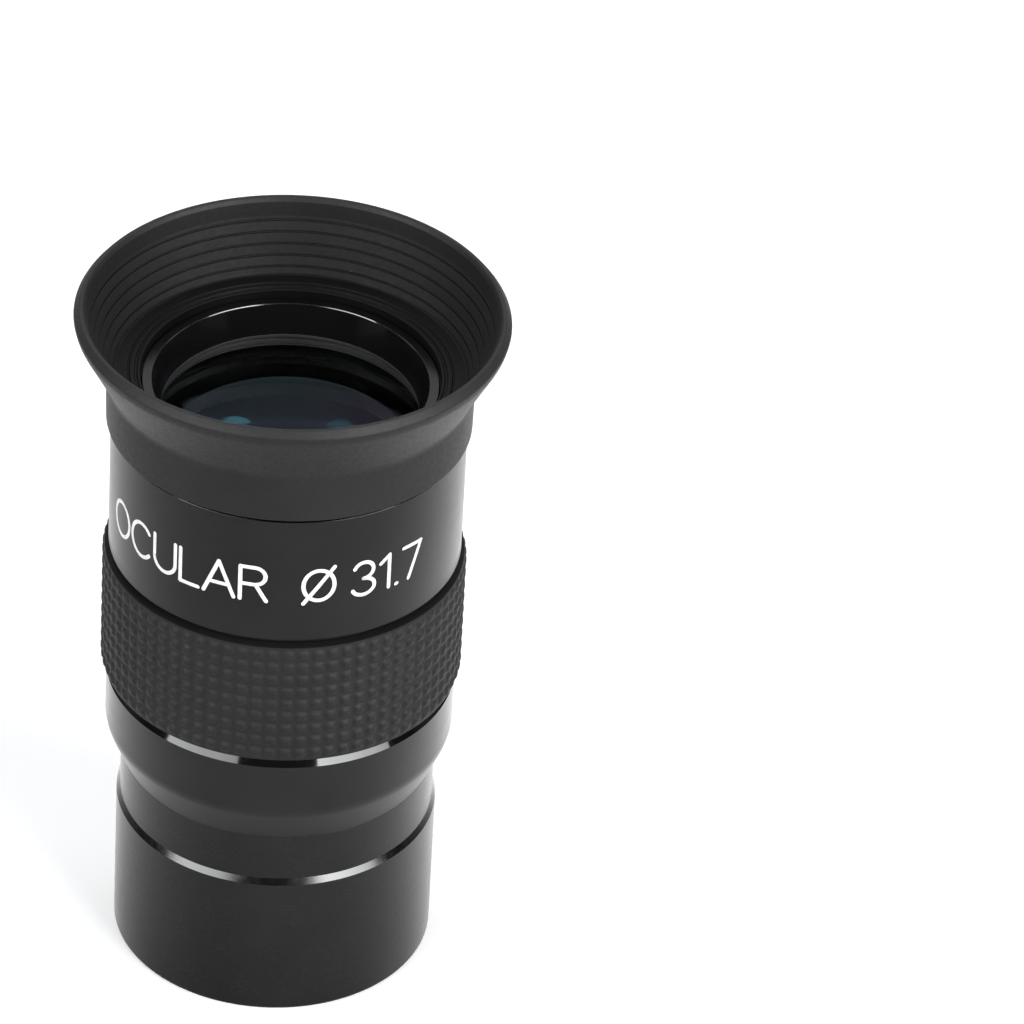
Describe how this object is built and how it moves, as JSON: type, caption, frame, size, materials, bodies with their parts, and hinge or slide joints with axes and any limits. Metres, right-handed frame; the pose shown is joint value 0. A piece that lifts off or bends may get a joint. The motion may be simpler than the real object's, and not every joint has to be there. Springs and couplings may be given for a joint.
{
  "type": "telescope eyepiece",
  "caption": "Telescope eyepiece with flared rubber eyecup, rubber grip ring, undercut screw-in nosepiece with filter thread, and cemented doublet lenses in a cell.",
  "frame": {"origin": "centre of the nosepiece's bottom face, on the optical axis", "axes": "+Z along the optical axis from the telescope end to the eye; X and Y are equivalent, and -Y is the side that carries the marking"},
  "size_m": [0.0416, 0.0416, 0.0725],
  "materials": {
    "eyecup_rubber": "matte",
    "black_anodised": "satin",
    "grip_rubber": "matte",
    "matt_black_metal": "matte",
    "gloss_black_metal": "gloss",
    "satin_black_metal": "satin",
    "coated_glass": "gloss",
    "crown_glass": "gloss"
  },
  "bodies": {
    "main_body": {"housing": "black_anodised", "grip_ring": "grip_rubber", "lens_cell": "gloss_black_metal", "eye_seat_ring": "satin_black_metal", "field_lock_ring": "matt_black_metal", "eye_flint": "coated_glass", "eye_crown": "crown_glass", "lens_spacer": "matt_black_metal", "field_crown": "crown_glass", "field_flint": "coated_glass"},
    "eyecup": {"eyecup": "eyecup_rubber"},
    "field_stop": {"field_stop_ring": "matt_black_metal"},
    "nosepiece": {"nosepiece": "black_anodised"}
  },
  "joints": [
    {"name": "eyecup_turn", "type": "hinge", "parent": "main_body", "child": "eyecup", "pos_m": [0, 0, 0.062], "axis": [0, 0, 1], "continuous": true},
    {"name": "nosepiece_travel", "type": "slide", "parent": "main_body", "child": "field_stop", "axis": [0, 0, -1], "range_m": [0, 0.00375]},
    {"name": "nosepiece_turn", "type": "hinge", "parent": "field_stop", "child": "nosepiece", "pos_m": [0, 0, 0.023], "axis": [0, 0, -1], "range_deg": [0, 1800]}
  ],
  "couplings": [
    {"joint": "nosepiece_travel", "follows": "nosepiece_turn", "m_per_rad": 0.00011937}
  ]
}
